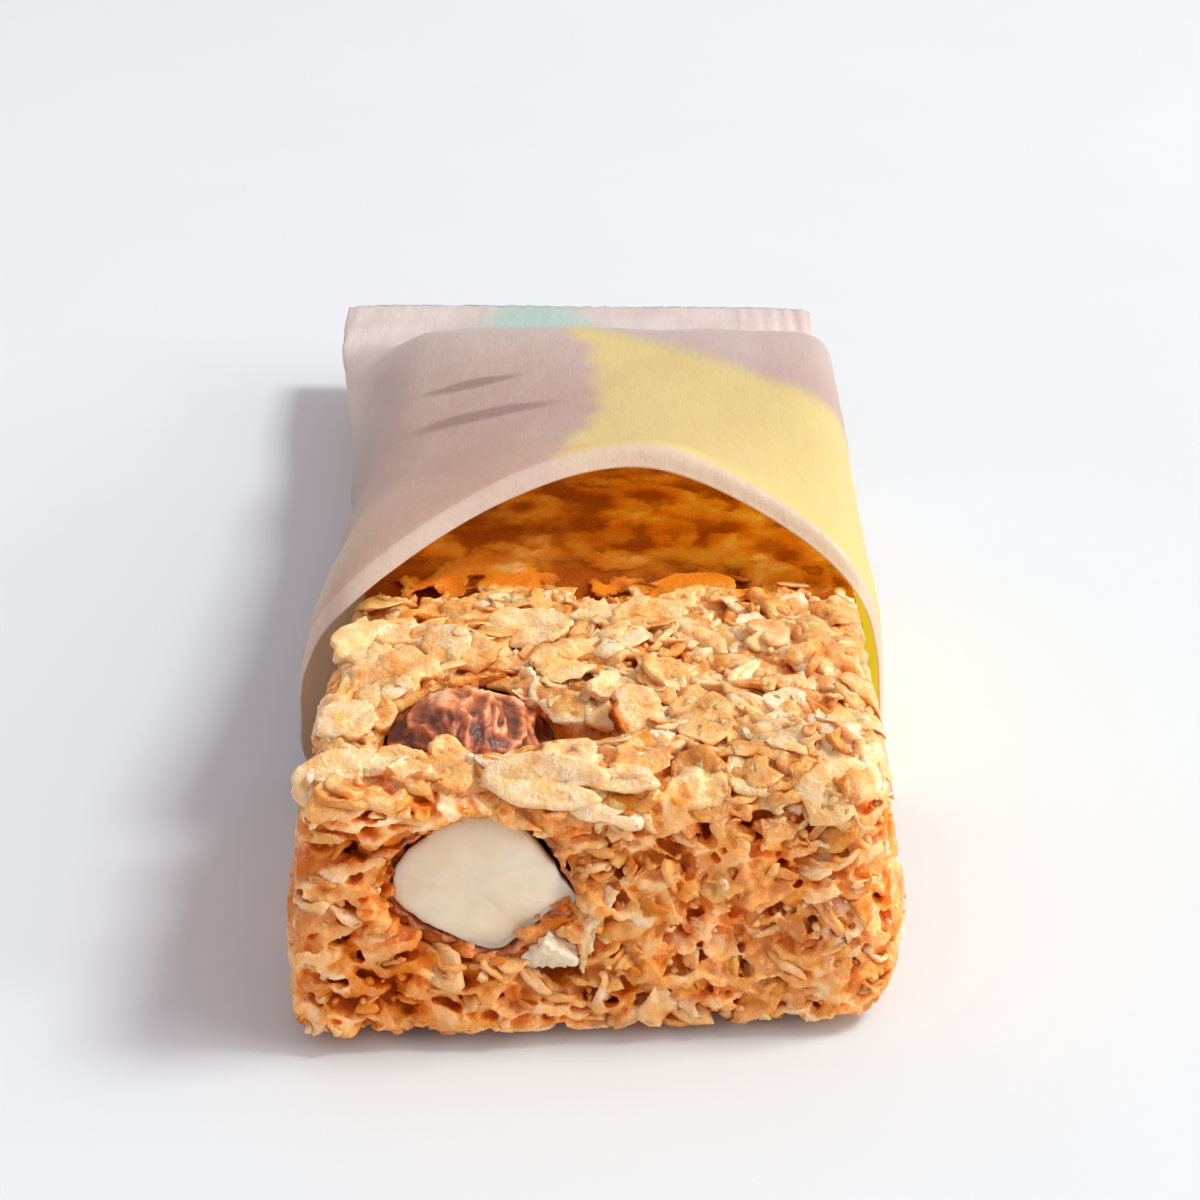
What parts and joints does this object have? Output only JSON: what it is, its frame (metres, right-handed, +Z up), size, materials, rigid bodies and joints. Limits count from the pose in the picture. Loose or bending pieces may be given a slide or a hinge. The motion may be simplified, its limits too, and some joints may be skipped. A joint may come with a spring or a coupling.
{
  "type": "granola bar",
  "caption": "Pressed oat and almond bar with a broken front end, lying in its opened film wrapper with a flat sealed rear fin.",
  "frame": {"origin": "on the wrapper's flat underside, below the bar's middle line, 58 mm behind the middle of the bar's broken face", "axes": "+Y along the bar from its broken face to the wrapper's sealed rear fin, +Z up, +X to the right seen from the broken face"},
  "size_m": [0.0499, 0.1201, 0.0249],
  "materials": {
    "oat_bar": "rough, with a sticky syrup gloss",
    "almond_kernel": "smooth cream nut kernel",
    "almond_skin": "wrinkled brown nut skin",
    "film": "thin translucent printed film"
  },
  "bodies": {
    "root": {"bar": "oat_bar", "almond_front": "almond_kernel", "almond_chip": "almond_kernel", "almond_top": "almond_skin", "wrapper": "film"}
  },
  "joints": []
}
